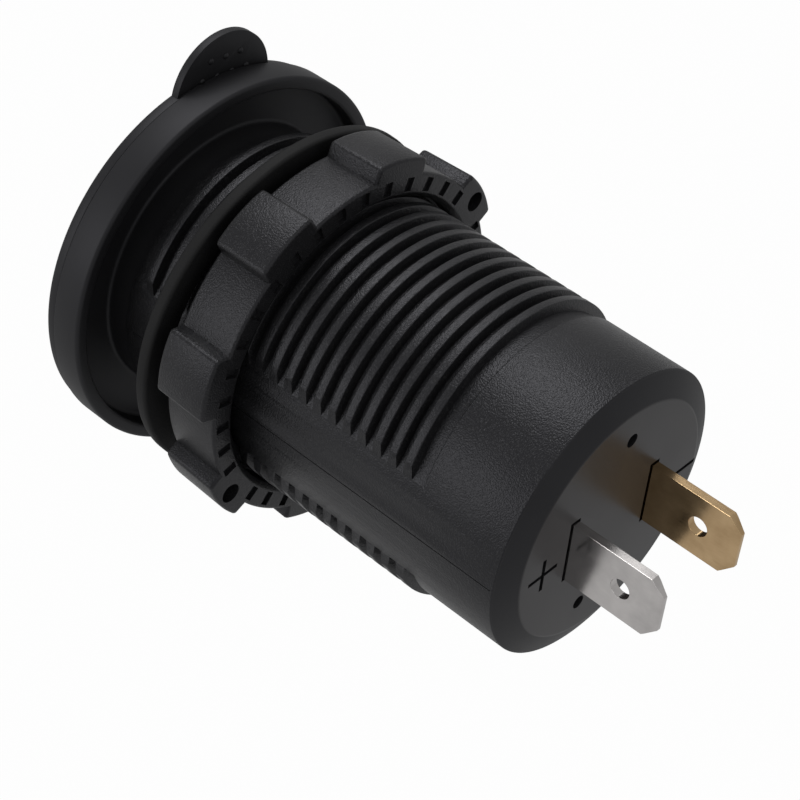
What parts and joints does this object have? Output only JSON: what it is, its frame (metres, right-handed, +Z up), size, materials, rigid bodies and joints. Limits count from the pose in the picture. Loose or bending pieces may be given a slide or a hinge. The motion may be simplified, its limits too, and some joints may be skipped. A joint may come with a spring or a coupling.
{
  "type": "panel-mount car usb socket",
  "caption": "Round panel-mount USB power socket for a vehicle: hinged dust cap, flange, threaded barrel with lobed ring nut and washer, and flat blade terminals at the rear.",
  "frame": {"origin": "on the socket's axis, in the plane of the flange rim that seats on the panel", "axes": "+Y along the socket's axis from the capped front to the terminals, +Z up towards the pull tab"},
  "size_m": [0.0374, 0.0588, 0.0437],
  "materials": {
    "moulded_black": "fine spark-eroded texture, low sheen",
    "cap_rubber": "satin soft moulding",
    "tinned_blade": "bright tin plate",
    "brass_blade": "bright stamped brass",
    "plated_steel": "bright plated sheet",
    "face_black": "smooth gloss",
    "insulator_white": "plain moulded",
    "contact_gold": "plated",
    "clear_plastic": "clear moulded",
    "led_body": "milky",
    "board_green": "solder mask",
    "ferrite": "matt pressed ferrite",
    "can_aluminium": "drawn can",
    "chip_black": "epoxy moulding"
  },
  "bodies": {
    "socket": {"socket_barrel": "moulded_black", "cap_hinge_pin": "plated_steel", "positive_terminal": "tinned_blade", "negative_terminal": "brass_blade", "face_panel": "face_black", "usb_shell_upper": "plated_steel", "usb_shell_lower": "plated_steel", "usb_insulator_upper": "insulator_white", "usb_insulator_lower": "insulator_white", "usb_contacts_upper": "contact_gold", "usb_contacts_lower": "contact_gold", "light_pipe": "clear_plastic", "indicator_led": "led_body", "charger_board": "board_green", "power_inductor": "ferrite", "input_capacitor": "can_aluminium", "output_capacitor": "can_aluminium", "converter_chip": "chip_black", "port_control_chip": "chip_black", "rectifier_diode": "chip_black", "input_fuse": "chip_black", "chip_capacitors": "insulator_white", "chip_resistors": "chip_black"},
    "cap": {"dust_cap": "cap_rubber"},
    "washer": {"sealing_washer": "cap_rubber"},
    "nut": {"mounting_nut": "moulded_black"}
  },
  "joints": [
    {"name": "cap_hinge", "type": "hinge", "parent": "socket", "child": "cap", "pos_m": [0, -0.00185, -0.0202], "axis": [1, 0, 0], "range_deg": [0, 115]},
    {"name": "washer_slide", "type": "slide", "parent": "socket", "child": "washer", "axis": [0, 1, 0], "range_m": [-0.00511, 0.01871]},
    {"name": "nut_turn", "type": "hinge", "parent": "washer", "child": "nut", "pos_m": [0, 0.0126, 0], "axis": [0, 1, 0], "range_deg": [-1080, 3960]}
  ],
  "couplings": [
    {"joint": "washer_slide", "follows": "nut_turn", "m_per_rad": 0.00027056}
  ]
}
